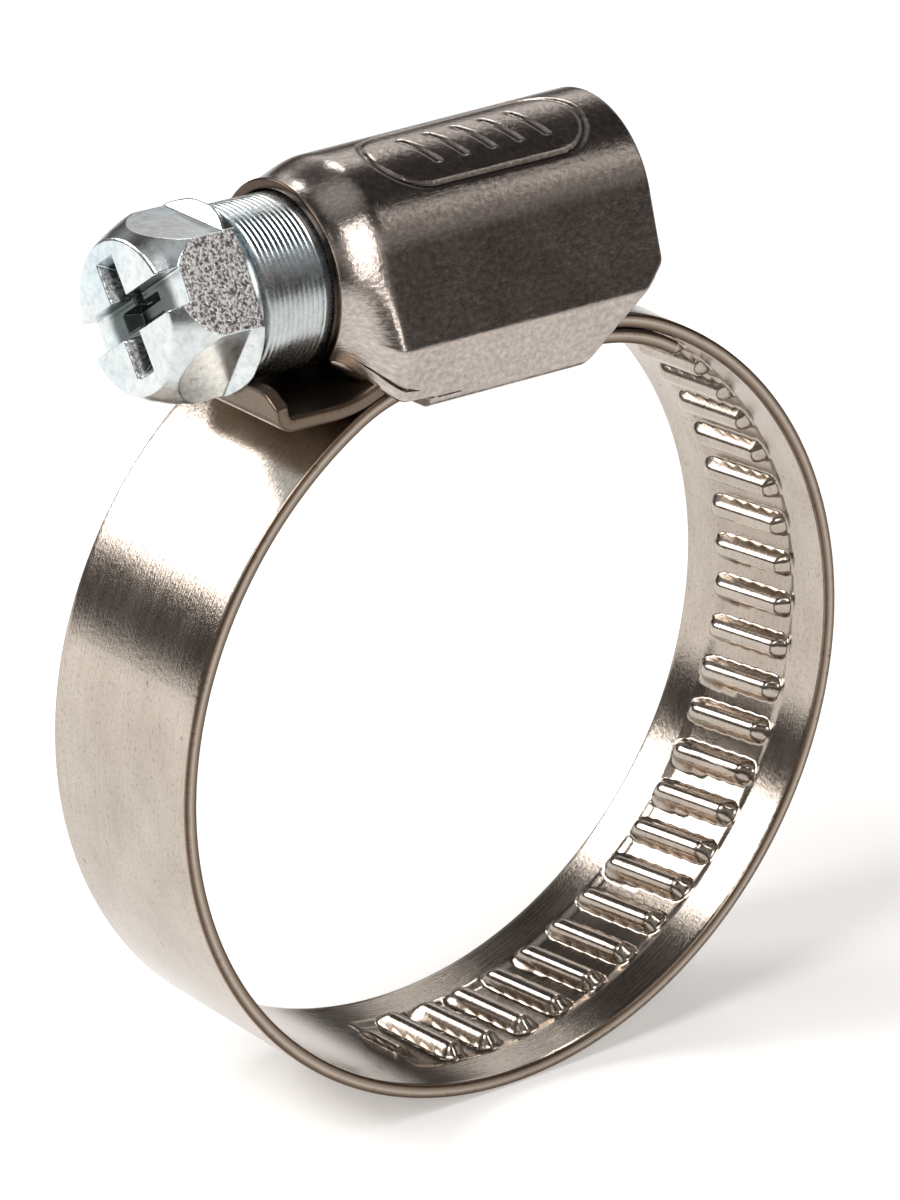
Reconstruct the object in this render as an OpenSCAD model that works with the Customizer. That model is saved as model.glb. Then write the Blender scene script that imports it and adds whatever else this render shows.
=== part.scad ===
// Worm-drive hose clamp: embossed band, pressed housing and hexagon worm screw.
// Origin: centre of the round opening. X runs along the screw (head at -X),
// Y along the hose, +Z from the hose centre up to the housing.

/* [Band] */
// width of the band along the hose (mm)
band_w = 9; // [8.8:0.1:9]
// thickness of the strip (mm)
band_t = 0.6; // [0.58:0.01:0.6]
// inside diameter of the round opening with the clamp fully open (mm)
loop_d = 32.5; // [32.4:0.05:32.6]
// length of the embossed ribs across the band (mm)
rib_len = 4.3; // [4:0.1:4.4]
// how far the ribs stand in from the inner face (mm)
rib_h = 0.5; // [0.4:0.02:0.5]
// depth of the pressed channel between the ribs (mm)
channel_h = 0.15; // [0.1:0.01:0.16]
// height of the bent-up lip at the free end (mm)
lip_h = 0.9; // [0.4:0.1:1]

/* [Worm screw] */
// thread pitch, also the spacing of the ribs (mm)
pitch = 1.93; // [1.93]
// outside diameter of the thread (mm)
thread_d = 6.8; // [6.5:0.1:6.8]
// core diameter under the thread (mm)
core_d = 5.5; // [5:0.1:5.5]
// diameter of the round collar behind the head (mm)
collar_d = 7.0; // [6.8:0.1:7]
// width across the flats of the head (mm)
hex_af = 6.8; // [6.6:0.1:7]
// length of the head (mm)
head_len = 3.9; // [3.4:0.1:4.2]
// width of the straight screwdriver slot (mm)
slot_w = 1.45; // [1.2:0.05:1.6]

/* [Housing] */
// thickness of the pressed sheet (mm)
sheet_t = 0.6; // [0.55:0.01:0.6]
// outside radius of the arch over the screw (mm)
arch_r = 4.35; // [4.3:0.01:4.4]

/* [Hidden] */
screw_z = 19.1;
arch_z = 19.4;
x_neck = -8.9;
x_body = -6.5;
x_end = 6.45;
steel = [0.62, 0.58, 0.54];
zinc = [0.66, 0.69, 0.71];
R = loop_d / 2 + band_t / 2;
cut_l = 30;
cut_r = 25;
r_l = 6.74;
z_fix = R * cos(cut_l) + r_l * (1 - cos(cut_l));
z_run = z_fix + band_t + 0.05;
r_r = (z_run - R * cos(cut_r)) / (1 - cos(cut_r));
x_a = (R - r_r) * sin(cut_r);
x_l = (R - r_l) * sin(cut_l);
x_t = 4.8;
r_tongue = r_r - band_t - 0.05;
a_tongue = 32;
// strip path from the fixed tongue's end to the lip: [length, radius] with 0 for straight
legs = [
    [r_tongue * a_tongue * PI / 180, r_tongue],
    [x_a + x_l, 0],
    [r_l * cut_l * PI / 180, r_l],
    [R * (360 - cut_l - cut_r) * PI / 180, R],
    [r_r * cut_r * PI / 180, r_r],
    [x_a + x_t, 0],
    [7.5 * 22 * PI / 180, 7.5],
    [5 * 23 * PI / 180, -5],
    [1.9, 0],
    [0.55 * 80 * PI / 180, -0.55],
    [lip_h, 0]
];
start = [x_a + r_tongue * sin(a_tongue), z_fix - r_tongue * (1 - cos(a_tongue)), 180 - a_tongue];
function go(p, l, r) = r == 0
    ? [p[0] + l * cos(p[2]), p[1] + l * sin(p[2]), p[2]]
    : let(d = l / r * 180 / PI)
      [p[0] + r * (sin(p[2] + d) - sin(p[2])), p[1] - r * (cos(p[2] + d) - cos(p[2])), p[2] + d];
function upto(i) = i == 0 ? 0 : upto(i - 1) + legs[i - 1][0];
at = [for (i = 0, p = start; i < len(legs); p = go(p, legs[i][0], legs[i][1]), i = i + 1) p];
m0 = [for (i = [0:len(legs)]) upto(i)];
function leg_of(m, i = 0) = i >= len(legs) - 1 || m < m0[i + 1] ? i : leg_of(m, i + 1);
function pose(m) = let(i = leg_of(m)) go(at[i], m - m0[i], legs[i][1]);

m_zero = m0[5] + x_a;                 // where the running strip crosses x = 0
rib_0 = 1.36;                         // x of the first rib right of the middle
m_rib = m_zero - rib_0;
ribs = [for (j = [-3:28]) m_rib - pitch * j];
cut0 = m_rib + pitch / 2;
gap = 0.03;
// limits of the strip sections, from the fixed side round to the free end
m_plain = cut0 - 29 * pitch;
m_first = m0[2] + 0.5;
cuts = concat([for (i = [0:3]) m_first + (m_plain - m_first) * i / 4],
    [for (i = [29, 25, 20, 15, 10, 5, 0, -3]) cut0 - pitch * i], [m0[11]]);
slant = atan(pitch / (PI * (thread_d + core_d) / 2));

module along(m) {
    p = pose(m);
    translate([p[0], 0, p[1]]) rotate([0, 180 - p[2], 0]) children();
}

// piece of strip between path lengths a and b
module strip(a, b, w = band_w, t = band_t, y = 0, off = 0) {
    for (i = [0:len(legs) - 1]) {
        lo = max(a, m0[i]);
        end = min(b, m0[i + 1]);
        hi = end + (end < b ? 0.004 : 0);
        if (end - lo > 0.001) {
            p = go(at[i], lo - m0[i], legs[i][1]);
            r = legs[i][1];
            if (r == 0)
                translate([p[0], y, p[1]]) rotate([0, 180 - p[2], 0])
                    translate([-(hi - lo), -w / 2, off - t / 2]) cube([hi - lo, w, t]);
            else {
                s = r > 0 ? 1 : -1;
                d = (hi - lo) / r * 180 / PI;
                q = p[2] - 90 * s;
                translate([p[0] - r * sin(p[2]), y, p[1] + r * cos(p[2])]) rotate([90, 0, 0])
                    rotate_extrude(start = min(q, q + d), angle = abs(d), $fn = 180)
                        translate([abs(r) + s * off - t / 2, -w / 2]) square([t, w]);
            }
        }
    }
}

// bent-up free end, as one profile drawn across the strip
function edge(m, o) = let(p = pose(m)) [p[0] + o * sin(p[2]), p[1] - o * cos(p[2])];
module lip_strip(a) {
    ms = concat([for (k = [0:6]) a + (m0[7] - a) * k / 6], [for (k = [1:6]) m0[7] + (m0[8] - m0[7]) * k / 6],
        [for (k = [0:8]) m0[9] + (m0[10] - m0[9]) * k / 8], [m0[11]]);
    n = len(ms) - 1;
    rotate([90, 0, 0]) linear_extrude(band_w, center = true)
        polygon(concat([for (m = ms) edge(m, band_t / 2)], [for (k = [0:n]) edge(ms[n - k], -band_t / 2)]));
}

module rib(m, l) {
    along(m) rotate([0, 0, -slant]) difference() {
        translate([0, 0, -band_t / 2 + 0.62 - rib_h]) rotate([90, 0, 0]) cylinder(h = l, r = 0.62, center = true, $fn = 24);
        translate([-1, -4, band_t / 2 - 0.1]) cube([2, 8, 1]);
    }
}

module groove(m, l) {
    along(m) rotate([0, 0, -slant]) translate([-0.52, -l / 2 + 0.15, band_t / 2 - 0.54])
        cube([1.04, l - 0.3, 1]);
}

function fits(m, a, b) = m > a && m < b;

module section(i) {
    color(steel) difference() {
        union() {
            if (i == len(cuts) - 2) lip_strip(cuts[i] + gap);
            else difference() {
                strip(cuts[i] + gap, cuts[i + 1] - gap);
                if (i > 3) strip(cuts[i], cuts[i + 1], w = rib_len + 0.2, t = channel_h + 0.02, off = -band_t / 2 + channel_h / 2 - 0.01);
            }
            for (m = ribs) if (fits(m, cuts[i], cuts[i + 1])) rib(m, m == ribs[len(ribs) - 1] ? rib_len * 0.8 : rib_len);
        }
        for (m = ribs) if (fits(m, cuts[i], cuts[i + 1])) groove(m, m == ribs[len(ribs) - 1] ? rib_len * 0.8 : rib_len);
        if (i == len(cuts) - 2)
            translate([-14, 0, 0]) rotate([90, 0, 90]) linear_extrude(3.4)
                polygon([[-2.9, 18.5], [-2.9, 16.7], [-2.3, 16.1], [-1.4, 15.62], [1.4, 15.62], [2.3, 16.1], [2.9, 16.7], [2.9, 18.5]]);
    }
}

// fixed tongue: full-thickness rails with a pressed trough that clears the ribs
module band_anchor() {
    rail = (band_w - rib_len - 0.4) / 2;
    end = cuts[0] - gap;
    color(steel) union() {
        strip(0, end, w = rail, y = band_w / 2 - rail / 2);
        strip(0, end, w = rail, y = -band_w / 2 + rail / 2);
        strip(0, end, w = band_w - 2 * rail + 0.02, t = band_t - rib_h, off = -rib_h / 2);
    }
}

module arch2d(g = 0) {
    hull() {
        translate([0, arch_z]) circle(r = arch_r - g, $fn = 72);
        for (s = [-1, 1]) {
            translate([s * 4.6, 17]) circle(r = 0.7 - g, $fn = 24);
            translate([s * 4.5, 14.95]) circle(r = max(0.6 - g, 0.02), $fn = 24);
        }
    }
}

module housing() {
    floor_top = z_fix - band_t / 2 - 0.02;
    color(steel) difference() {
        union() {
            translate([x_body, 0, 0]) rotate([90, 0, 90]) linear_extrude(x_end - x_body) arch2d();
            hull() {
                translate([x_body, 0, 0]) rotate([90, 0, 90]) linear_extrude(0.1) arch2d();
                translate([-8.7, 0, screw_z]) rotate([0, 90, 0]) cylinder(h = 0.1, r = collar_d / 2 + 0.05 + sheet_t, $fn = 72);
            }
            translate([x_neck, 0, screw_z]) rotate([0, 90, 0]) cylinder(h = 0.7, r = collar_d / 2 + 0.05 + sheet_t, $fn = 72);
        }
        // inside of the arch and of the band slot
        difference() {
            union() {
                translate([x_body, 0, 0]) rotate([90, 0, 90]) linear_extrude(20) arch2d(sheet_t);
                hull() {
                    translate([x_body, 0, 0]) rotate([90, 0, 90]) linear_extrude(0.05) arch2d(sheet_t);
                    translate([-7.6, 0, screw_z]) rotate([0, 90, 0]) cylinder(h = 0.05, r = 3.45, $fn = 72);
                }
            }
            translate([-10, -10, 10]) cube([20, 20, floor_top - 10]);
        }
        // journal for the collar, then the crimped bead that holds the screw
        translate([x_neck - 1, 0, screw_z]) rotate([0, 90, 0]) cylinder(h = 1 - x_neck - 8.05, r = collar_d / 2 + 0.05, $fn = 72);
        translate([-9, 0, screw_z]) rotate([0, 90, 0]) cylinder(h = 4, r = 3.05, $fn = 72);
        // open underside of the neck, curving down to the end of the fold
        rotate([90, 0, 0]) linear_extrude(20, center = true)
            polygon([[-12, 13], [-12, 17.3], [-9.25, 17.3], [-9.1, 16.85], [-8.8, 16.55], [-8.3, 16.4], [-6.9, 16.3],
                [-6.3, 16.1], [-5.8, 15.75], [-5.45, 15.3], [-5.3, 14.8], [-5.2, 14.2], [-5.2, 13]]);
        // sloping cut of the side walls at the open end
        rotate([90, 0, 0]) linear_extrude(20, center = true)
            polygon([[2.3, 13], [2.35, 14.2], [2.75, 14.75], [x_end, 17.95], [x_end + 2, 18.5], [x_end + 2, 13]]);
    }
}

module hex_head() {
    intersection() {
        translate([-12.3 - head_len, 0, screw_z]) rotate([0, 90, 0]) rotate([0, 0, 30])
            cylinder(h = head_len, d = hex_af / cos(30), $fn = 6);
        translate([-12.3 - head_len, 0, screw_z]) rotate([0, 90, 0]) union() {
            cylinder(h = 1.9, r1 = 3.1, r2 = 3.95, $fn = 72);
            translate([0, 0, 1.899]) cylinder(h = head_len - 1.899, r = 3.95, $fn = 72);
        }
    }
}

module drive() {
    translate([-12.3 - head_len, 0, screw_z]) rotate([55, 0, 0]) {
        translate([-1, -slot_w / 2, -6]) cube([1.9, slot_w, 12]);
        translate([-1, -2.3, -0.5]) cube([2.2, 4.6, 1]);
        translate([-0.01, 0, 0]) rotate([0, 90, 0]) cylinder(h = 2, r1 = 1.35, r2 = 0.5, $fn = 32);
    }
}

// thread ridge swept along the helix, fading out at both ends
turn = 24;
x_th0 = -4.9;
x_th1 = 4.6;
n_th = floor((x_th1 - x_th0) / pitch * turn);
function th(i) = 270 + (x_th0 - rib_0) / pitch * 360 + i * 360 / turn;
function fade(i) = min(1, i / 5, (n_th - i) / 5);
function prof(i) = let(a = th(i), x = rib_0 + pitch * (a - 270) / 360, rc = core_d / 2 - 0.1, rt = rc + 0.02 + (thread_d / 2 - rc - 0.02) * fade(i))
    [for (q = [[-0.6, rc], [-0.26, rt], [0.26, rt], [0.6, rc]]) [x + q[0], q[1] * cos(a), q[1] * sin(a)]];
module thread() {
    pts = [for (i = [0:n_th]) each prof(i)];
    faces = concat(
        [[0, 2, 1], [0, 3, 2]],
        [for (i = [0:n_th - 1]) each [
            for (k = [0:3]) let(a = 4 * i + k, b = 4 * i + (k + 1) % 4, c = b + 4, d = a + 4) each [[a, b, c], [a, c, d]]]],
        [[4 * n_th, 4 * n_th + 1, 4 * n_th + 2], [4 * n_th, 4 * n_th + 2, 4 * n_th + 3]]
    );
    polyhedron(points = pts, faces = faces, convexity = 10);
}

module worm_screw() {
    color(zinc) difference() {
        union() {
            hex_head();
            translate([-12.35, 0, screw_z]) rotate([0, 90, 0]) cylinder(h = 0.5, r = 3.2, $fn = 72);
            translate([-11.95, 0, screw_z]) rotate([0, 90, 0]) cylinder(h = 0.15, r1 = 3.3, r2 = collar_d / 2, $fn = 72);
            translate([-11.8, 0, screw_z]) rotate([0, 90, 0]) cylinder(h = 3.6, r = collar_d / 2, $fn = 72);
            translate([-8.3, 0, screw_z]) rotate([0, 90, 0]) cylinder(h = 1, r = 2.95, $fn = 72);
            translate([-7.45, 0, screw_z]) rotate([0, 90, 0]) cylinder(h = 0.5, r = 3.25, $fn = 72);
            translate([-7, 0, screw_z]) rotate([0, 90, 0]) cylinder(h = 12.6, d = core_d, $fn = 72);
            translate([0, 0, screw_z]) thread();
        }
        drive();
    }
}

housing();
band_anchor();
worm_screw();
section(0);  // band_01
section(1);  // band_02
section(2);  // band_03
section(3);  // band_04
section(4);  // band_05
section(5);  // band_06
section(6);  // band_07
section(7);  // band_08
section(8);  // band_09
section(9);  // band_10
section(10);  // band_11
section(11);  // band_12
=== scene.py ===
import bpy
import bmesh
import math
import numpy as np
from mathutils import Matrix, Vector


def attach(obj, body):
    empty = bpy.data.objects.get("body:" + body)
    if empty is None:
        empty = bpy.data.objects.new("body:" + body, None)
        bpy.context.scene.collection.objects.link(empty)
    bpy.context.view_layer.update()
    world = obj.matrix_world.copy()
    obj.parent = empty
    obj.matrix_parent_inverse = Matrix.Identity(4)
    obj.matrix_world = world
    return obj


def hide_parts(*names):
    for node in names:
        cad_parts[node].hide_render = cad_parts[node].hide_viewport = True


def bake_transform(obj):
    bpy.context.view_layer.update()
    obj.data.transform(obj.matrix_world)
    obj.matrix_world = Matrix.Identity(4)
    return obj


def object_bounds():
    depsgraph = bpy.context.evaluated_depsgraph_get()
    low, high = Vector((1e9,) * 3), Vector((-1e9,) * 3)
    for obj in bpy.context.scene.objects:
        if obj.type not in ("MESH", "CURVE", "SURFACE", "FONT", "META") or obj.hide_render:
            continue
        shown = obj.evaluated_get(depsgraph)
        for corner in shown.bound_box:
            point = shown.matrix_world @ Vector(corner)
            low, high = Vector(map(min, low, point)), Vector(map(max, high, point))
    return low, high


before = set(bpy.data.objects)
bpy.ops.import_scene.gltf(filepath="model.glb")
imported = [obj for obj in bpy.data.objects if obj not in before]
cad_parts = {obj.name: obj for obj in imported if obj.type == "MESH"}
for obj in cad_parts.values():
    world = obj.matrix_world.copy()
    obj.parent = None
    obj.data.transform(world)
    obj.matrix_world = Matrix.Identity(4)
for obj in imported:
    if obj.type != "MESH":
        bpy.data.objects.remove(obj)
lo0, hi0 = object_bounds()
MM = 0.001

# ---------------------------------------------------------------- camera
az, el, roll = math.radians(-38.238), math.radians(22.599), math.radians(0.4)
back = Vector((math.sin(az) * math.cos(el), -math.cos(az) * math.cos(el), math.sin(el)))
right = Vector((math.cos(az), math.sin(az), 0))
up = back.cross(right)
rr = math.cos(roll) * right + math.sin(roll) * up
uu = -math.sin(roll) * right + math.cos(roll) * up
cam_data = bpy.data.cameras.new("camera")
cam_data.sensor_fit = "VERTICAL"
cam_data.sensor_height = 36
cam_data.lens = 173.709
cam_data.clip_start = 0.01
cam_data.clip_end = 20
cam = bpy.data.objects.new("camera", cam_data)
bpy.context.scene.collection.objects.link(cam)
m = Matrix.Identity(4)
for i in range(3):
    m[i][0], m[i][1], m[i][2] = rr[i], uu[i], back[i]
m.translation = Vector((-0.135233, -0.171241, 0.094181))
cam.matrix_world = m
bpy.context.scene.camera = cam


# ---------------------------------------------------------------- node helpers
def mat(name, base, metallic=1.0, rough=0.3):
    ma = bpy.data.materials.new(name)
    ma.use_nodes = True
    nt = ma.node_tree
    b = nt.nodes["Principled BSDF"]
    b.inputs["Base Color"].default_value = (*base, 1)
    b.inputs["Metallic"].default_value = metallic
    b.inputs["Roughness"].default_value = rough
    return ma, nt, b


def node(nt, kind, ins=None, **props):
    n = nt.nodes.new(kind)
    for k, v in props.items():
        setattr(n, k, v)
    for k, v in (ins or {}).items():
        if hasattr(v, "is_output"):
            nt.links.new(v, n.inputs[k])
        else:
            n.inputs[k].default_value = v
    return n


def noise(nt, vec, scale, detail=3.0, rough=0.5, dist=0.0):
    return node(nt, "ShaderNodeTexNoise", {"Vector": vec, "Scale": scale, "Detail": detail, "Roughness": rough, "Distortion": dist}).outputs["Fac"]


def ramp(nt, fac, stops):
    n = node(nt, "ShaderNodeValToRGB", {"Fac": fac})
    e = n.color_ramp.elements
    while len(e) < len(stops):
        e.new(0.5)
    for q, (p, c) in zip(e, stops):
        q.position = p
        q.color = (*c, 1) if len(c) == 3 else c
    return n.outputs["Color"]


def grey(v):
    return (v, v, v)


def math_(nt, op, a, b=0.0, c=0.0, clamp=False):
    n = nt.nodes.new("ShaderNodeMath")
    n.operation = op
    n.use_clamp = clamp
    for k, v in enumerate((a, b, c)):
        if hasattr(v, "is_output"):
            nt.links.new(v, n.inputs[k])
        else:
            n.inputs[k].default_value = v
    return n.outputs[0]


def mix(nt, fac, a, b, mode="MIX"):
    n = nt.nodes.new("ShaderNodeMix")
    n.data_type = "RGBA"
    n.blend_type = mode
    for k, v in ((0, fac), (6, a), (7, b)):
        if hasattr(v, "is_output"):
            nt.links.new(v, n.inputs[k])
        elif k == 0:
            n.inputs[k].default_value = v
        else:
            n.inputs[k].default_value = (*v, 1)
    return n.outputs[2]


def mapping(nt, vec, scale):
    return node(nt, "ShaderNodeMapping", {"Vector": vec, "Scale": scale}).outputs["Vector"]


# ---------------------------------------------------------------- materials
def strip_material():
    ma, nt, b = mat("rolled_strip", (0.62, 0.565, 0.51), 1.0, 0.3)
    a = node(nt, "ShaderNodeAttribute", attribute_name="strip").outputs["Vector"]   # mm along, mm across, darkening: painted shade in rib valleys, outer troughs and under the screw, and darker rounded edges
    sep = node(nt, "ShaderNodeSeparateXYZ", {"Vector": a})
    grain = noise(nt, mapping(nt, a, (0.35, 9.0, 0.0)), 1.0, 4.0, 0.6)
    cloud = noise(nt, mapping(nt, a, (0.30, 0.45, 0.0)), 1.0, 4.0, 0.6)
    speck = noise(nt, mapping(nt, a, (5.0, 7.0, 0.0)), 1.0, 2.0, 0.7)
    pits = noise(nt, mapping(nt, a, (2.2, 2.6, 0.0)), 1.0, 2.0, 0.5)
    base = ramp(nt, cloud, [(0.25, (0.43, 0.37, 0.32)), (0.75, (0.56, 0.50, 0.44))])
    g2 = ramp(nt, grain, [(0.3, grey(0.86)), (0.7, grey(1.0))])
    base = mix(nt, 1.0, base, g2, "MULTIPLY")
    s2 = ramp(nt, speck, [(0.30, grey(0.70)), (0.45, grey(1.0))])
    base = mix(nt, 1.0, base, s2, "MULTIPLY")
    p2 = ramp(nt, pits, [(0.24, (0.35, 0.30, 0.26)), (0.31, grey(1.0))])
    base = mix(nt, 0.7, base, p2, "MULTIPLY")
    # painted shade: the third value darkens rib valleys, pressed troughs and the tail under the screw, and the rounded
    # edges
    painted_shade_and_dark_edges = ramp(nt, sep.outputs["Z"], [(0.0, grey(1.0)), (0.5, (0.58, 0.52, 0.46)), (1.0, (0.20, 0.15, 0.12))])
    base = mix(nt, 1.0, base, painted_shade_and_dark_edges, "MULTIPLY")
    nt.links.new(base, b.inputs["Base Color"])
    r = math_(nt, "MULTIPLY_ADD", cloud, 0.12, 0.085)
    r = math_(nt, "MULTIPLY_ADD", grain, 0.07, r)
    r = math_(nt, "MULTIPLY_ADD", sep.outputs["Z"], 0.2, r)
    nt.links.new(r, b.inputs["Roughness"])
    h = math_(nt, "MULTIPLY_ADD", grain, 0.5, math_(nt, "MULTIPLY", speck, 0.5))
    bump = node(nt, "ShaderNodeBump", {"Height": h, "Strength": 0.16, "Distance": 0.00008})
    nt.links.new(bump.outputs["Normal"], b.inputs["Normal"])
    return ma


def housing_material():
    ma, nt, b = mat("pressed_sheet", (0.5, 0.45, 0.42), 1.0, 0.28)
    a = node(nt, "ShaderNodeAttribute", attribute_name="strip").outputs["Vector"]
    sep = node(nt, "ShaderNodeSeparateXYZ", {"Vector": a})
    grain = noise(nt, mapping(nt, a, (0.35, 5.0, 0.0)), 1.0, 4.0, 0.6)
    cloud = noise(nt, mapping(nt, a, (0.35, 0.35, 0.0)), 1.0, 3.0, 0.6)
    speck = noise(nt, mapping(nt, a, (4.0, 4.0, 0.0)), 1.0, 3.0, 0.7)
    base = ramp(nt, cloud, [(0.3, (0.47, 0.41, 0.375)), (0.7, (0.54, 0.48, 0.44))])
    base = mix(nt, 1.0, base, ramp(nt, speck, [(0.3, grey(0.76)), (0.5, grey(0.96)), (0.68, grey(1.2))]), "MULTIPLY")
    base = mix(nt, 1.0, base, ramp(nt, grain, [(0.3, grey(0.85)), (0.7, grey(1.0))]), "MULTIPLY")
    # painted shade: the third value darkens the stamp grooves, the inside face and the sheet's edges, most at the neck
    # rim
    painted_shade_and_dark_edges = ramp(nt, sep.outputs["Z"], [(0.0, grey(1.0)), (0.8, grey(0.45)), (1.0, (0.16, 0.13, 0.11))])
    base = mix(nt, 1.0, base, painted_shade_and_dark_edges, "MULTIPLY")
    nt.links.new(base, b.inputs["Base Color"])
    r = math_(nt, "MULTIPLY_ADD", cloud, 0.08, 0.12)
    r = math_(nt, "MULTIPLY_ADD", speck, 0.11, r)
    nt.links.new(r, b.inputs["Roughness"])
    h = math_(nt, "MULTIPLY_ADD", grain, 0.4, speck)
    bump = node(nt, "ShaderNodeBump", {"Height": h, "Strength": 0.16, "Distance": 0.00008})
    nt.links.new(bump.outputs["Normal"], b.inputs["Normal"])
    return ma


def zinc_material(name, lines):
    ma, nt, b = mat(name, (0.66, 0.70, 0.72), 1.0, 0.25)
    co = node(nt, "ShaderNodeTexCoord").outputs["Object"]
    mott = noise(nt, co, 2600.0, 3.0, 0.65)
    cloud = noise(nt, co, 420.0, 3.0, 0.6)
    c0, c1 = ((0.47, 0.505, 0.52), (0.57, 0.605, 0.62)) if lines else ((0.58, 0.625, 0.645), (0.72, 0.765, 0.785))
    base = ramp(nt, cloud, [(0.3, c0), (0.7, c1)])
    base = mix(nt, 1.0, base, ramp(nt, mott, [(0.32, grey(0.80)), (0.55, grey(1.0))]), "MULTIPLY")
    tint = ramp(nt, noise(nt, co, 300.0, 2.0, 0.5), [(0.42, (1.0, 0.985, 0.96)), (0.6, (0.93, 1.0, 1.03))])
    base = mix(nt, 0.8, base, tint, "MULTIPLY")
    if lines:
        nt.links.new(base, b.inputs["Base Color"])
        nt.links.new(math_(nt, "MULTIPLY_ADD", mott, 0.14, 0.20), b.inputs["Roughness"])
        bump = node(nt, "ShaderNodeBump", {"Height": mott, "Strength": 0.12, "Distance": 0.00004})
        nt.links.new(bump.outputs["Normal"], b.inputs["Normal"])
        return ma
    a = node(nt, "ShaderNodeAttribute", attribute_name="strip").outputs["Vector"]
    sep = node(nt, "ShaderNodeSeparateXYZ", {"Vector": a})
    grit = noise(nt, co, 7500.0, 2.0, 0.7)
    fleck = noise(nt, co, 5200.0, 2.0, 0.6)
    sparkle = mix(nt, 1.0, ramp(nt, grit, [(0.38, (0.20, 0.18, 0.18)), (0.50, (0.75, 0.71, 0.71)), (0.57, (2.0, 1.95, 1.95))]),
                  ramp(nt, fleck, [(0.36, grey(0.5)), (0.55, grey(1.0))]), "MULTIPLY")
    base = mix(nt, sep.outputs["X"], base, sparkle)
    # painted shade deep in the cross recess
    painted_recess_shade = ramp(nt, sep.outputs["Y"], [(0.0, grey(1.0)), (1.0, (0.15, 0.17, 0.165))])
    base = mix(nt, 1.0, base, painted_recess_shade, "MULTIPLY")
    nt.links.new(base, b.inputs["Base Color"])
    r = math_(nt, "MULTIPLY_ADD", mott, 0.14, 0.17)
    r = math_(nt, "MULTIPLY_ADD", sep.outputs["X"], 0.16, r)
    nt.links.new(r, b.inputs["Roughness"])
    h = math_(nt, "MULTIPLY", grit, math_(nt, "MULTIPLY_ADD", sep.outputs["X"], 2.4, 0.12))
    h = math_(nt, "MULTIPLY_ADD", mott, 0.25, h)
    bump = node(nt, "ShaderNodeBump", {"Height": h, "Strength": 0.5, "Distance": 0.00004})
    nt.links.new(bump.outputs["Normal"], b.inputs["Normal"])
    return ma


STRIP = strip_material()
SHEET = housing_material()
ZINC = zinc_material("zinc_head", False)
ZINC2 = zinc_material("zinc_turned", True)


# ---------------------------------------------------------------- mesh helpers
def make(name, verts, faces, material, attr=None, sharp=None, smooth=True, angle=None):
    me = bpy.data.meshes.new(name)
    me.from_pydata([tuple(v) for v in np.asarray(verts) * MM], [], [tuple(f) for f in faces])
    me.validate()
    ob = bpy.data.objects.new(name, me)
    bpy.context.scene.collection.objects.link(ob)
    me.materials.append(material)
    if smooth:
        me.polygons.foreach_set("use_smooth", [True] * len(me.polygons))
    if attr is not None:
        at = me.attributes.new("strip", "FLOAT_VECTOR", "POINT")
        at.data.foreach_set("vector", np.asarray(attr, np.float32).ravel())
    bm = bmesh.new()
    bm.from_mesh(me)
    bmesh.ops.recalc_face_normals(bm, faces=bm.faces)
    if angle is not None:
        for e in bm.edges:
            if len(e.link_faces) == 2 and e.calc_face_angle(0) > math.radians(angle):
                e.smooth = False
    if sharp:
        bm.verts.ensure_lookup_table()
        for ring in sharp:
            for a_, b_ in ring:
                e = bm.edges.get((bm.verts[a_], bm.verts[b_]))
                if e:
                    e.smooth = False
    bm.to_mesh(me)
    bm.free()
    return ob


def smooth01(x):
    x = np.clip(x, 0, 1)
    return x * x * (3 - 2 * x)


# ---------------------------------------------------------------- band path, as in the CAD
W, T = 9.0, 0.6
R = 32.5 / 2 + T / 2
cut_l, cut_r, r_l = 30.0, 25.0, 6.74
sd = lambda d: math.sin(math.radians(d))
cd = lambda d: math.cos(math.radians(d))
z_fix = R * cd(cut_l) + r_l * (1 - cd(cut_l))
z_run = z_fix + T + 0.05
r_r = (z_run - R * cd(cut_r)) / (1 - cd(cut_r))
x_a, x_l, x_t = (R - r_r) * sd(cut_r), (R - r_l) * sd(cut_l), 4.8
r_tongue, a_tongue, lip_h = r_r - T - 0.05, 32.0, 0.9
PI = math.pi
legs = [(r_tongue * a_tongue * PI / 180, r_tongue), (x_a + x_l, 0), (r_l * cut_l * PI / 180, r_l),
        (R * (360 - cut_l - cut_r) * PI / 180, R), (r_r * cut_r * PI / 180, r_r), (x_a + x_t, 0),
        (7.5 * 22 * PI / 180, 7.5), (5 * 23 * PI / 180, -5), (1.9, 0), (0.55 * 80 * PI / 180, -0.55), (lip_h, 0)]
start = (x_a + r_tongue * sd(a_tongue), z_fix - r_tongue * (1 - cd(a_tongue)), 180 - a_tongue)


def go(p, l, r):
    if r == 0:
        return (p[0] + l * cd(p[2]), p[1] + l * sd(p[2]), p[2])
    d = l / r * 180 / PI
    return (p[0] + r * (sd(p[2] + d) - sd(p[2])), p[1] - r * (cd(p[2] + d) - cd(p[2])), p[2] + d)


at, m0 = [start], [0.0]
for l_, r_ in legs:
    at.append(go(at[-1], l_, r_))
    m0.append(m0[-1] + l_)


def pose(mm):
    i = 0
    while i < len(legs) - 1 and mm >= m0[i + 1]:
        i += 1
    return go(at[i], mm - m0[i], legs[i][1])


pitch, rib_0 = 1.93, 1.36
m_zero = m0[5] + x_a
m_rib = m_zero - rib_0
ribs = [m_rib - pitch * j for j in range(-3, 29)]
cut0 = m_rib + pitch / 2
m_plain, m_first = cut0 - 29 * pitch, m0[2] + 0.5
cuts = [m_first + (m_plain - m_first) * i / 4 for i in range(4)] + [cut0 - pitch * i for i in (29, 25, 20, 15, 10, 5, 0, -3)] + [m0[11]]
mids = [(cuts[i] + cuts[i + 1]) / 2 for i in range(12)]
slant = math.atan(pitch / (PI * (6.8 + 5.5) / 2))
LAST = min(ribs)


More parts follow.
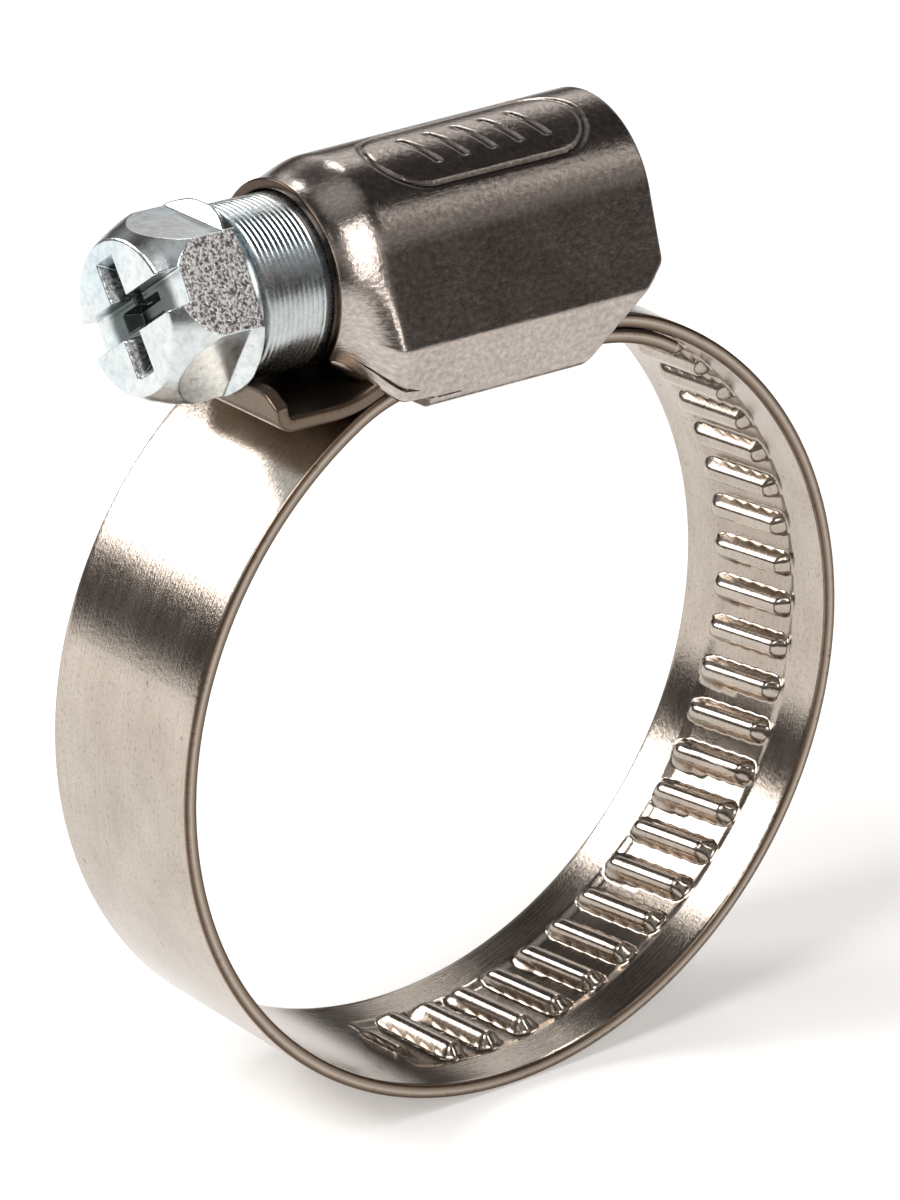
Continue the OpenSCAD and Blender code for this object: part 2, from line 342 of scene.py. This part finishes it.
def rib_field(mm, y, grow=0.0):
    """1 on a rib's crest, 0 on the flat strip, a rounded bar with ends that run out between."""
    out = np.zeros_like(y)
    for c in ribs:
        if abs(mm - c) > 1.4:
            continue
        half = 2.5 if c != LAST else 1.5
        a = (mm - c + y * math.tan(slant)) * math.cos(slant)
        b = y / math.cos(slant)
        wide = 0.56 + grow if c != LAST else 0.42 + grow
        run = np.clip((half + grow - np.abs(b)) / 0.75, 0, 1)
        taper = np.where(b > 0, np.sqrt(np.clip(1 - (1 - run) ** 2, 0, 1)), smooth01(run))
        u_ = np.abs(a) / np.maximum(wide * (0.55 + 0.45 * taper), 1e-6)
        crest = np.clip(1 - np.clip(u_, 0, 1) ** 2.6, 0, 1) ** 0.75
        k = 1.0 if c != LAST else 0.6
        out = np.maximum(out, k * taper * crest)
    return out


def lip_end(y):
    """Path length at which the free end stops, for this y: corners clipped, middle notched round the collar."""
    ay = abs(y)
    z = np.interp(ay, [1.3, 2.2, 2.9], [15.62, 16.05, 17.5])
    e = m0[11]
    if z < 17:
        lo_, hi_ = m0[9], m0[11]
        for _ in range(30):
            q = (lo_ + hi_) / 2
            if pose(q)[1] < z:
                lo_ = q
            else:
                hi_ = q
        e = min(e, lo_)
    if ay > 3.75:
        e -= (ay - 3.75) * 0.8
    return e


RC = 0.13


def ys_row():
    inner = np.arange(-2.7, 2.701, 0.108)
    left = np.array([-4.5 + RC, -4.2, -3.9, -3.5, -3.1])
    return np.concatenate([left, inner, -left[::-1]])


YS = ys_row()


def ring_points(mm, kind, end=None):
    """One ring round the strip at path length mm: outer row, near edge, inner row, far edge."""
    pts, att = [], []
    bo = rib_field(mm, YS, -0.12)
    bi = rib_field(mm, YS, 0.0)
    if kind == "tongue":
        tr = smooth01((2.5 - np.abs(YS)) / 0.2)
        oo = T / 2 - 0.53 * tr
        oi = -T / 2 + 0 * tr
        bi = bo = 0 * tr
    else:
        ch = smooth01((2.62 - np.abs(YS)) / 0.55) * min(1.0, max(0.0, (mm - (LAST - 0.35)) / 0.5)) * min(1.0, max(0.0, (max(ribs) + 0.9 - mm) / 0.5))
        oo = T / 2 - 0.45 * bo + 0.03 * ch * (1 - bo)
        oi = -T / 2 - 0.50 * bi + 0.13 * ch * (1 - bi)
    n = len(YS)
    seq = []
    # painted shade in the valleys and along the feet of the ribs
    painted_valley_shade = 0 * bi if kind == "tongue" else np.clip(np.clip(bi / 0.15, 0, 1) * np.clip((0.55 - bi) / 0.4, 0, 1) * np.clip((1.95 - np.abs(YS)) / 0.5, 0, 1) * 0.8 + ch * (1 - bi) * 0.12, 0, 1)
    # outer row: painted shade in the pressed troughs, by their depth
    for k in range(n):
        seq.append((YS[k], oo[k], min(1.0, bo[k])))
    for t_, g_ in ((22.5, 0.5), (45, 0.9), (67.5, 1.0), (90, 0.8)):
        seq.append((4.5 - RC + RC * sd(t_), T / 2 - RC + RC * cd(t_), g_))
    seq.append((4.5, 0.03, 0.05))
    for t_, g_ in ((0, 0.8), (22.5, 1.0), (45, 0.8), (67.5, 0.4)):
        seq.append((4.5 - RC + RC * cd(t_), -T / 2 + RC - RC * sd(t_), g_))
    for k in range(n - 1, -1, -1):
        seq.append((YS[k], oi[k], float(painted_valley_shade[k])))
    for t_, g_ in ((22.5, 0.4), (45, 0.8), (67.5, 1.0), (90, 0.8)):
        seq.append((-4.5 + RC - RC * sd(t_), -T / 2 + RC - RC * cd(t_), g_))
    seq.append((-4.5, 0.03, 0.05))
    for t_, g_ in ((0, 0.8), (22.5, 1.0), (45, 0.9), (67.5, 0.5)):
        seq.append((-4.5 + RC - RC * cd(t_), T / 2 - RC + RC * sd(t_), g_))
    # painted shade on the tail and its lip, under the screw head
    painted_tail_shade = 0.0 if kind == "tongue" else 0.75 * float(smooth01((mm - (m0[6] + 1.2)) / 1.6))
    for y, o, darkening in seq:
        darkening = max(darkening, painted_tail_shade) if o > -9 else darkening
        q = mm
        if end is not None:
            e_ = lip_end(y)
            q = end[0] + end[1] * (e_ - end[0])
        x, z, h = pose(q)
        if end is not None and end[1] > 0.985:
            o *= 0.72
        pts.append((x + o * sd(h), y, z - o * cd(h)))
        att.append((q, y + (40 if o < 0 else 0), darkening))
    return pts, att


def stations(a, b, kind="band"):
    """Path lengths from a to b, close together where there are ribs and round tight bends."""
    out = [a]
    while out[-1] < b - 1e-6:
        c = out[-1]
        near = any(abs(c - r_) < 0.95 for r_ in ribs) and kind == "band"
        step = 0.085 if near else 0.3
        if m0[6] - 0.2 < c < m0[9]:
            step = min(step, 0.15)
        out.append(min(b, c + step))
    if len(out) > 2 and out[-1] - out[-2] < 0.02:
        out.pop(-2)
    return out


def band_piece(name, a, b, kind="band", tip=False):
    verts, att, rings = [], [], []

    def add(mm, end=None):
        p, t_ = ring_points(mm, kind, end)
        rings.append(list(range(len(verts), len(verts) + len(p))))
        verts.extend(p)
        att.extend(t_)

    if tip:
        for mm in stations(a, m0[8] + 1.0):
            add(mm)
        base = m0[8] + 1.0
        for t_ in list(np.linspace(0, 0.98, 36))[1:] + [1.0]:
            add(base, (base, t_))
    elif kind == "tongue":
        # the tongue: rings along the path
        for mm in stations(a, b, kind):
            add(mm)
        v = np.array(verts[: len(rings[0])])
        c = v.mean(axis=0)
    else:
        for mm in stations(a, b):
            add(mm)
    n = len(rings[0])
    faces = []
    for q in range(len(rings) - 1):
        A, B = rings[q], rings[q + 1]
        for k in range(n):
            faces.append((A[k], A[(k + 1) % n], B[(k + 1) % n], B[k]))
    ny = len(YS)

    def cap(ring, flip):
        # outer row against inner row, then the rounded edges
        out = []
        o = ring[:ny]
        i_ = ring[ny + 9: 2 * ny + 9][::-1]
        for k in range(ny - 1):
            out.append((o[k], o[k + 1], i_[k + 1], i_[k]))
        out.append(tuple([o[-1]] + ring[ny: ny + 9] + [i_[-1]]))
        out.append(tuple([i_[0]] + ring[2 * ny + 9:] + [o[0]]))
        return [tuple(reversed(f)) for f in out] if flip else out

    faces += cap(rings[0], False) + cap(rings[-1], True)
    edge = [[(r_[k], r_[(k + 1) % n]) for k in range(n)] for r_ in (rings[0], rings[-1])]
    return make(name, verts, faces, STRIP, att, edge)


split0 = m0[2] - 2.2
piece = band_piece("band_tongue", 0.0, split0, "tongue")
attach(piece, "housing")
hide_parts("band_anchor")
prev_body, prev_m = "housing", split0
for i in range(11):
    body = f"band_{i + 1:02d}"
    b_ = mids[i]
    piece = band_piece(f"band_strip_{i + 1:02d}", prev_m, b_)
    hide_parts(body)
    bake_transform(piece)
    prev_body, prev_m = body, b_
piece = band_piece("band_free_end", prev_m, m0[11], tip=True)
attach(piece, "band_11")
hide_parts("band_12")


# ---------------------------------------------------------------- housing, a pressed sheet
AXZ = 19.1
SHEET_T = 0.56


def hull_profile():
    """Half outline of the body from the bottom middle to the top middle, as (y, z)."""
    circles = [((0, 19.4), 4.35), ((4.6, 17.0), 0.7), ((4.5, 14.95), 0.6)]
    pts = [(0.0, 14.35)]
    for f in np.linspace(-90, 90, 721):
        n_ = (cd(f), sd(f))
        c, r_ = max(circles, key=lambda q: q[0][0] * n_[0] + q[0][1] * n_[1] + q[1])
        p = (c[0] + r_ * n_[0], c[1] + r_ * n_[1])
        if math.dist(p, pts[-1]) > 1e-6:
            pts.append(p)
    return np.array(pts)


HP = hull_profile()
seg = np.hypot(*np.diff(HP, axis=0).T)
HS = np.concatenate([[0], np.cumsum(seg)])
HL = HS[-1]


def body_at(s):
    return np.array([np.interp(s, HS, HP[:, 0]), np.interp(s, HS, HP[:, 1])])


def half_samples():
    s = list(np.arange(0.03, HL - 0.05, 0.105)) + [HL]
    extra = []
    for z in np.arange(16.0, 17.4, 0.035):
        k = np.argmin(np.abs(HP[:, 1] - z) + (HP[:, 0] < 3) * 9)
        extra.append(HS[k])
    zz = np.array([body_at(q)[1] for q in s])
    s = [q for q in s if not (15.95 < body_at(q)[1] < 17.45 and q < HL * 0.6)] 
    a = np.array([[np.interp(z, [14.95, 17.0, 18.2], [0, 0, 0])] for z in [0]])
    # arc length at a height on the wall
    wall = [(q, body_at(q)[1]) for q in np.linspace(4.6, HL * 0.62, 900)]
    ws, wz = np.array([w_[0] for w_ in wall]), np.array([w_[1] for w_ in wall])
    s += list(np.interp(np.arange(15.96, 17.44, 0.04), wz, ws))
    return np.array(sorted(s))


HSAMP = half_samples()
low_poly = np.array([[-9.3, 17.3], [-8.95, 17.0], [-8.85, 16.75], [-8.65, 16.55], [-8.3, 16.42], [-6.9, 16.3],
                     [-6.3, 16.1], [-5.8, 15.75], [-5.45, 15.3], [-5.3, 14.8], [-5.2, 14.2], [-5.19, 13.0]])


def w_of(x):
    """0 on the neck, 1 on the body."""
    return smooth01((x + 8.75) / 2.25)


def surface(x, s, side):
    """Outer face at x and half-outline arc length s."""
    y, z = body_at(s)
    rise = 0.26 * np.clip((x + 6.5) / 12.95, 0, 1)
    th = math.atan2(z - AXZ, y)
    rb = math.hypot(y, z - AXZ)
    up_ = max(0.0, math.sin(th))
    rb = rb + rise * up_ * up_ - 0.10 * up_ * up_
    w_ = float(w_of(x))
    r_ = 4.02 + (rb - 4.02) * w_
    return np.array([x, side * r_ * math.cos(th), AXZ + r_ * math.sin(th)])


def x_start(s):
    for x in np.arange(-8.82, -5.1, 0.01):
        z = surface(x, s, 1)[2]
        if z >= np.interp(x, low_poly[:, 0], low_poly[:, 1]):
            return x
    return -5.12


def x_stop(s):
    z = body_at(s)[1]
    if s > 12 or z > 17.95:
        return 6.37
    return float(np.interp(z, [14.35, 14.5, 14.75, 15.0, 17.4, 17.8, 17.95, 18.1], [2.32, 2.42, 2.68, 2.96, 5.72, 6.12, 6.25, 6.35]))


def stamp(x, a):
    """Generic stamped mark: a long rounded outline with slanted bars. 1 in the groove."""
    def line(d, w_=0.10):
        return smooth01((w_ + 0.07 - abs(d)) / 0.12)
    cx, ca, hl, hw = -0.2, 1.15, 5.1, 2.0
    px, pa = x - cx, a - ca
    qx = max(abs(px) - (hl - hw), 0.0)
    d = math.hypot(qx, pa) - hw
    v = line(d)
    for k in (-2.7, -1.35, 0.0, 1.35, 2.7):
        u_ = px - k - 0.35 * pa
        lim = 1.05
        if abs(pa) < lim:
            v = max(v, line(u_, 0.12) * smooth01((lim - abs(pa)) / 0.15))
    return float(v)


NX = 150
cols = [(s, 1) for s in HSAMP] + [(s, -1) for s in HSAMP[::-1][1:]]
ts = np.linspace(0, 1, NX)
ncol = len(cols)
xs0 = {s: x_start(s) for s in HSAMP}
xs1 = {s: x_stop(s) for s in HSAMP}
k5 = np.array([1, 2, 3, 2, 1.0]) / 9
arr0 = np.array([xs0[s] for s in HSAMP])
arr1 = np.array([xs1[s] for s in HSAMP])
arr1 = np.convolve(np.pad(arr1, 2, mode="edge"), k5, "valid")
P = np.zeros((NX, ncol, 3))
for j, (s, side) in enumerate(cols):
    idx = int(np.argmin(np.abs(HSAMP - s)))
    a_, b_ = arr0[idx], arr1[idx]
    for i, t_ in enumerate(ts):
        P[i, j] = surface(a_ + t_ * (b_ - a_), s, side)
# normals of the outer face, made to point outwards
du = np.gradient(P, axis=0)
dv = np.gradient(P, axis=1)
Nn = np.cross(du, dv)
Nn /= np.linalg.norm(Nn, axis=2, keepdims=True) + 1e-12
mid_j = ncol // 2
if Nn[NX // 2, mid_j, 2] < 0:
    Nn = -Nn
S = np.zeros((NX, ncol))
for j, (s, side) in enumerate(cols):
    arc = (HL - s) * (-side)          # mm from the ridge, positive to the near side
    if -1.2 < -arc * -1 < 3.6 or -1.5 < arc < 3.7:
        for i in range(NX):
            S[i, j] = stamp(P[i, j, 0], arc)
OUT = P - Nn * (0.075 * S)[..., None]
TH = np.interp(P[..., 0], [-8.82, -7.6], [0.44, SHEET_T])
INN = P - Nn * TH[..., None]
loop = [(0, j) for j in range(ncol)] + [(i, ncol - 1) for i in range(1, NX)] + [(NX - 1, j) for j in range(ncol - 2, -1, -1)] + [(i, 0) for i in range(NX - 2, 0, -1)]
verts = list(OUT.reshape(-1, 3)) + list(INN.reshape(-1, 3))
attr = []
for grid, off in ((OUT, 0), (INN, 60)):
    for i in range(NX):
        for j, (s, side) in enumerate(cols):
            # painted shade in the stamp's grooves on the outside, and an even painted shade over the inside face
            attr.append((P[i, j, 0], (HL - s) * side + off, 0.8 * S[i, j] if off == 0 else 0.3))
faces = []
G = NX * ncol
for i in range(NX - 1):
    for j in range(ncol - 1):
        a_, b_, c_, d_ = i * ncol + j, i * ncol + j + 1, (i + 1) * ncol + j + 1, (i + 1) * ncol + j
        faces.append((a_, b_, c_, d_))
        faces.append((G + d_, G + c_, G + b_, G + a_))
rc = 0.09
rim_rows = []
L = len(loop)
bp = np.array([P[i, j] for i, j in loop])
bn = np.array([Nn[i, j] for i, j in loop])
bt = np.array([[TH[i, j]] for i, j in loop])
tg = np.roll(bp, -1, axis=0) - np.roll(bp, 1, axis=0)
tg /= np.linalg.norm(tg, axis=1, keepdims=True) + 1e-12
ot = np.cross(tg, bn)
ot /= np.linalg.norm(ot, axis=1, keepdims=True) + 1e-12
inward = np.array([P[min(max(i, 1), NX - 2), min(max(j, 1), ncol - 2)] for i, j in loop]) - bp
flip = np.sign(-(inward * ot).sum(axis=1))
flip[flip == 0] = 1
ot *= (1 if flip.sum() > 0 else -1)
prev = [i * ncol + j for i, j in loop]
rows = []
for f in (30, 60, 90):
    rows.append(bp - bn * rc * (1 - cd(f)) + ot * rc * sd(f))
for f in (90, 60, 30):
    rows.append(bp - bn * (bt - rc * (1 - cd(f))) + ot * rc * sd(f))
for row in rows:
    cur = list(range(len(verts), len(verts) + L))
    verts.extend(list(row))
    # painted shade on the sheet's cut edges, darkest at the neck rim by the collar
    attr.extend([(bp[k][0], bp[k][2] + 90, float(np.interp(bp[k][0], [-8.3, -7.5], [1.0, 0.7]))) for k in range(L)])
    for k in range(L):
        faces.append((prev[k], cur[k], cur[(k + 1) % L], prev[(k + 1) % L]))
    prev = cur
last = [G + i * ncol + j for i, j in loop]
for k in range(L):
    faces.append((prev[k], last[k], last[(k + 1) % L], prev[(k + 1) % L]))
housing = make("housing_shell", verts, faces, SHEET, attr)
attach(housing, "housing")
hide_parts("housing")


# ---------------------------------------------------------------- worm screw
def lathe(name, prof, material, n=160):
    """Closed turned body round the screw's axis from (x, r) points; first and last r are 0."""
    verts, faces = [], []
    x0, x1 = prof[0][0], prof[-1][0]
    body = prof[1:-1]
    for x, r_ in body:
        for k in range(n):
            a = 2 * PI * k / n
            verts.append((x, r_ * math.cos(a), AXZ + r_ * math.sin(a)))
    c0, c1 = len(verts), len(verts) + 1
    verts += [(x0, 0, AXZ), (x1, 0, AXZ)]
    for q in range(len(body) - 1):
        for k in range(n):
            faces.append((q * n + k, q * n + (k + 1) % n, (q + 1) * n + (k + 1) % n, (q + 1) * n + k))
    e = (len(body) - 1) * n
    for k in range(n):
        faces.append((c0, (k + 1) % n, k))
        faces.append((c1, e + k, e + (k + 1) % n))
    return make(name, verts, faces, material, angle=35)


def prism(name, pts, x0, x1, rot=0.0):
    """Prism along X from (y, z) points about the screw's axis, turned by rot degrees."""
    n = len(pts)
    verts = []
    for x in (x0, x1):
        for y, z in pts:
            verts.append((x, y * cd(rot) - z * sd(rot), AXZ + y * sd(rot) + z * cd(rot)))
    faces = [tuple(range(n))[::-1], tuple(range(n, 2 * n))] + [(k, (k + 1) % n, n + (k + 1) % n, n + k) for k in range(n)]
    return make(name, verts, faces, ZINC, smooth=False)


def rect(w_, h_):
    return [(-w_ / 2, -h_ / 2), (w_ / 2, -h_ / 2), (w_ / 2, h_ / 2), (-w_ / 2, h_ / 2)]


def apply_mods(ob):
    bpy.context.view_layer.update()
    dg = bpy.context.evaluated_depsgraph_get()
    me = bpy.data.meshes.new_from_object(ob.evaluated_get(dg))
    old = ob.data
    ob.modifiers.clear()
    ob.data = me
    bpy.data.meshes.remove(old)


def boolean(ob, other, op):
    mod = ob.modifiers.new("b", "BOOLEAN")
    mod.operation = op
    mod.object = other
    mod.solver = "EXACT"
    apply_mods(ob)
    bpy.data.objects.remove(other)


HX = -16.2
AF = 6.7
head = lathe("screw_head", [(HX, 0), (HX, 3.0), (HX + 0.05, 3.1), (HX + 0.6, 3.40), (HX + 1.3, 3.72), (HX + 2.0, 3.93), (-12.85, 3.96), (-12.5, 3.90), (-12.36, 3.75), (-12.36, 0)], ZINC, 144)
hexa = prism("hex_tmp", [(AF / 2 / cd(30) * cd(60 * k), AF / 2 / cd(30) * sd(60 * k)) for k in range(6)], HX - 1, -12.0)
boolean(head, hexa, "INTERSECT")
# forging run-outs behind every other flat
for k in (90, 210, 330):
    cone = lathe("run_tmp", [(-13.2, 0), (-13.2, 3.15 / cd(30)), (-12.45, 3.90 / cd(30)), (-12.4, 3.90 / cd(30)), (-12.4, 0)], ZINC, 6)
    boolean(cone, lathe("lim_tmp", [(-13.5, 0), (-13.5, 3.92), (-12.41, 3.92), (-12.41, 0)], ZINC, 120), "INTERSECT")
    boolean(cone, prism("sector_tmp", [(0, 0), (9 * cd(k - 29.9), 9 * sd(k - 29.9)), (9 * cd(k + 29.9), 9 * sd(k + 29.9))], -15, -12), "INTERSECT")
    boolean(head, cone, "UNION")
boolean(head, prism("slot_tmp", rect(1.45, 14), HX - 1, HX + 0.88, 55), "DIFFERENCE")


def vee(name, w0, w1, l0, l1, depth, rot):
    """Tapering arm of the cross recess, wide and long at the face, narrow and short at its bottom."""
    verts = []
    for x, w_, l_ in ((HX - 0.4, w0 + (w0 - w1) * 0.4 / depth, l0 + (l0 - l1) * 0.4 / depth), (HX + depth, w1, l1)):
        for y, z in ((-l_, -w_ / 2), (l_, -w_ / 2), (l_, w_ / 2), (-l_, w_ / 2)):
            verts.append((x, y * cd(rot) - z * sd(rot), AXZ + y * sd(rot) + z * cd(rot)))
    faces = [(3, 2, 1, 0), (4, 5, 6, 7)] + [(k, (k + 1) % 4, 4 + (k + 1) % 4, 4 + k) for k in range(4)]
    return make(name, verts, faces, ZINC, smooth=False)


boolean(head, vee("arm_tmp", 1.25, 0.35, 2.42, 1.5, 1.35, 55), "DIFFERENCE")
boolean(head, vee("arm2_tmp", 1.35, 0.5, 1.9, 1.1, 1.5, 145), "DIFFERENCE")
vox = 0.036
rm = head.modifiers.new("r", "REMESH")
rm.mode = "VOXEL"
rm.voxel_size = vox * MM
rm.use_smooth_shade = True
sm = head.modifiers.new("s", "SMOOTH")
sm.factor = 0.5
sm.iterations = 4
apply_mods(head)
hm = head.data
hm.polygons.foreach_set("use_smooth", [True] * len(hm.polygons))
hm.materials.clear()
hm.materials.append(ZINC)
# forging texture on two opposite flats, the others come smooth off the die
nrm = np.zeros(len(hm.vertices) * 3)
hm.vertices.foreach_get("normal", nrm)
nrm = nrm.reshape(-1, 3)
vco = np.zeros(len(hm.vertices) * 3)
hm.vertices.foreach_get("co", vco)
vco = vco.reshape(-1, 3) / MM
fl = nrm @ np.array([0, -sd(60), cd(60)])
rough_ = smooth01((np.abs(fl) - 0.90) / 0.08)
# mask for painted shade deep in the cross recess
painted_recess_shade_mask = smooth01((vco[:, 0] - (HX + 0.25)) / 0.2) * smooth01((2.75 - np.hypot(vco[:, 1], vco[:, 2] - AXZ)) / 0.7)
at_ = hm.attributes.new("strip", "FLOAT_VECTOR", "POINT")
at_.data.foreach_set("vector", np.stack([rough_, painted_recess_shade_mask, 0 * painted_recess_shade_mask], axis=1).astype(np.float32).ravel())
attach(head, "worm")
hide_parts("worm_screw")

prof = [(-12.5, 0), (-12.5, 3.12), (-12.1, 3.14), (-11.98, 3.2), (-11.93, 3.34), (-11.86, 3.45)]
x = -11.80
k = 0
while x < -9.25:
    prof += [(x, 3.5), (x + 0.10, 3.5), (x + 0.145, 3.455), (x + 0.19, 3.455)]
    x += 0.235
prof += [(-9.2, 3.5), (-8.35, 3.5), (-8.22, 3.4), (-8.2, 2.95), (-7.46, 2.95), (-7.44, 3.2), (-7.38, 3.25), (-7.02, 3.25), (-6.96, 3.2), (-6.94, 2.74),
         (5.35, 2.74), (5.58, 2.5), (5.6, 2.3), (5.6, 0)]
shank = lathe("screw_shank", prof, ZINC2, 180)
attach(shank, "worm")

# thread ridge, swept along the helix
tn = 72
x0_, x1_ = -4.9, 4.6
n_th = int((x1_ - x0_) / pitch * tn)
tv, tf = [], []
prof_q = [(-0.62, 0.0), (-0.56, 0.06), (-0.30, 0.93), (-0.24, 1.0), (0.24, 1.0), (0.30, 0.93), (0.56, 0.06), (0.62, 0.0)]
for i in range(n_th + 1):
    th = 270 + (x0_ - rib_0) / pitch * 360 + i * 360 / tn
    xx = rib_0 + pitch * (th - 270) / 360
    fade = min(1, i / (0.25 * tn), (n_th - i) / (0.25 * tn))
    rcore = 2.66
    rt = rcore + 0.03 + (3.39 - rcore - 0.03) * math.sin(fade * PI / 2)
    for q, h in prof_q:
        r_ = rcore + (rt - rcore) * h
        tv.append((xx + q, r_ * cd(th), AXZ + r_ * sd(th)))
npq = len(prof_q)
for i in range(n_th):
    for k in range(npq):
        a_, b_ = i * npq + k, i * npq + (k + 1) % npq
        tf.append((a_, b_, b_ + npq, a_ + npq))
tf.append(tuple(range(npq))[::-1])
tf.append(tuple(range(n_th * npq, n_th * npq + npq)))
thread = make("screw_thread", tv, tf, ZINC2, angle=50)
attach(thread, "worm")

# ---------------------------------------------------------------- floor, light, world
zf = lo0[2] - 0.00005
bm = bmesh.new()
n = 48
for r_ in (0.0, 0.15, 0.4, 1.2, 3.0):
    pass
vs = [[bm.verts.new((r_ * math.cos(2 * PI * k / n), r_ * math.sin(2 * PI * k / n), zf)) for k in range(n)] for r_ in (0.1, 0.4, 1.2, 3.0)]
bm.faces.new(vs[0])
for a_, b_ in zip(vs, vs[1:]):
    for k in range(n):
        bm.faces.new((a_[k], a_[(k + 1) % n], b_[(k + 1) % n], b_[k]))
bmesh.ops.recalc_face_normals(bm, faces=bm.faces)
fme = bpy.data.meshes.new("floor")
bm.to_mesh(fme)
bm.free()
floor = bpy.data.objects.new("floor", fme)
bpy.context.scene.collection.objects.link(floor)
fm, fnt, fb = mat("floor_paper", (0.93, 0.93, 0.925), 0.0, 0.9)
fb.inputs["Specular IOR Level"].default_value = 0.0
fb.inputs["Emission Color"].default_value = (1, 0.995, 0.985, 1)
fb.inputs["Emission Strength"].default_value = 0.27
fme.materials.append(fm)


def area(name, loc, target, size, power, color=(1, 1, 1), size_y=None):
    d = bpy.data.lights.new(name, "AREA")
    d.energy = power
    d.color = color
    d.shape = "RECTANGLE"
    d.size = size
    d.size_y = size_y or size
    o = bpy.data.objects.new(name, d)
    o.location = loc
    o.rotation_euler = (Vector(target) - Vector(loc)).to_track_quat("-Z", "Y").to_euler()
    bpy.context.scene.collection.objects.link(o)
    return o


area("top_box", (-0.40, -0.02, 0.50), (0, 0, 0), 0.36, 2.6, (1, 0.99, 0.98), 0.26)
area("back_left", (-0.28, 0.41, 0.275), (0, 0, 0), 0.25, 1.45, (1, 0.98, 0.96), 0.23)
area("streak", (0.30, -0.24, 0.34), (0, 0, 0.015), 0.03, 0.03, (1, 0.97, 0.94), 0.14)
area("front_card", (0.012, -0.389, 0.270), (-0.007, -0.004, 0.020), 0.05, 0.52, (1, 0.98, 0.96), 0.40)
area("neck_card", (0.172, 0.235, 0.320), (-0.008, 0, 0.022), 0.07, 0.12, (1, 0.99, 0.97), 0.07)
area("back_card", (0.50, 0.66, 0.40), (0, 0, 0.02), 0.42, 0.21, (1, 0.99, 0.98), 0.22)

world = bpy.data.worlds.new("studio")
bpy.context.scene.world = world
world.use_nodes = True
wnt = world.node_tree
bg = wnt.nodes["Background"]
gen = node(wnt, "ShaderNodeTexCoord").outputs["Generated"]
wz = node(wnt, "ShaderNodeSeparateXYZ", {"Vector": gen}).outputs["Z"]
wc = ramp(wnt, wz, [(0.0, (0.05, 0.042, 0.038)), (0.24, (0.07, 0.06, 0.055)), (0.36, (0.30, 0.28, 0.265)), (0.55, (0.42, 0.40, 0.38)),
                    (0.70, (0.04, 0.036, 0.034)), (0.88, (0.03, 0.028, 0.027)), (1.0, (0.6, 0.6, 0.6))])
wnt.links.new(wc, bg.inputs["Color"])
bg.inputs["Strength"].default_value = 0.9
bpy.context.scene.view_settings.view_transform = "Standard"
